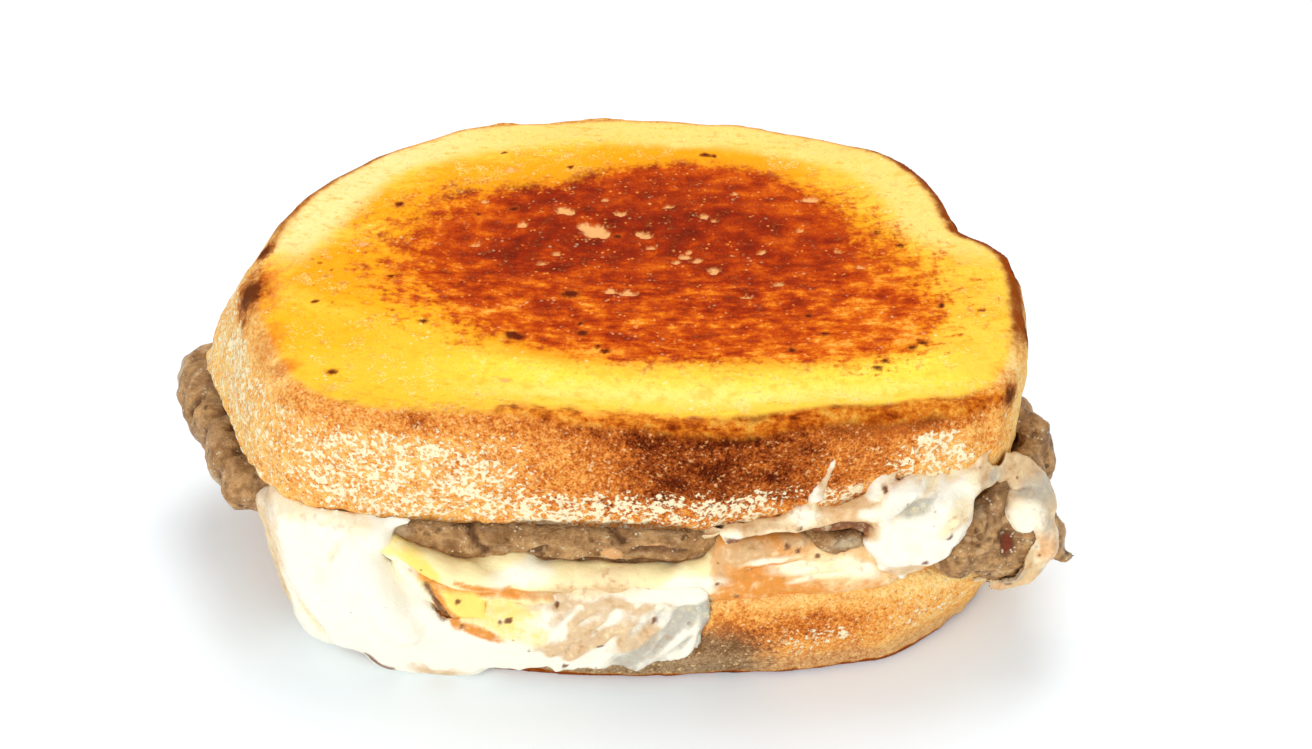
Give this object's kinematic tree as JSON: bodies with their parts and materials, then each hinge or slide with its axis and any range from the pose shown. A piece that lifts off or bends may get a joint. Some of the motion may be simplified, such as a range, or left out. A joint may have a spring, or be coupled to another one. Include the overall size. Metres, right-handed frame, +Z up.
{
  "type": "grilled cheese sandwich",
  "caption": "Pan-browned rustic bread slices around a meat patty, melted yellow cheese and white sauce that runs out at the front, lying flat.",
  "frame": {"origin": "middle of the underside of the lower slice, on the surface the sandwich lies on", "axes": "+Z up through the layers, +X along the slices' length, -Y the flat loaf base where most of the filling shows"},
  "size_m": [0.1674, 0.1109, 0.058],
  "materials": {
    "bread_top": "pan-browned bread, buttery",
    "bread_bottom": "floury crust, matte",
    "patty": "cooked minced meat, moist",
    "cheese": "melted cheese, soft sheen",
    "sauce": "creamy sauce, soft sheen"
  },
  "bodies": {
    "root": {"bread_top": "bread_top", "bread_bottom": "bread_bottom", "patty": "patty", "cheese": "cheese", "sauce": "sauce"}
  },
  "joints": []
}
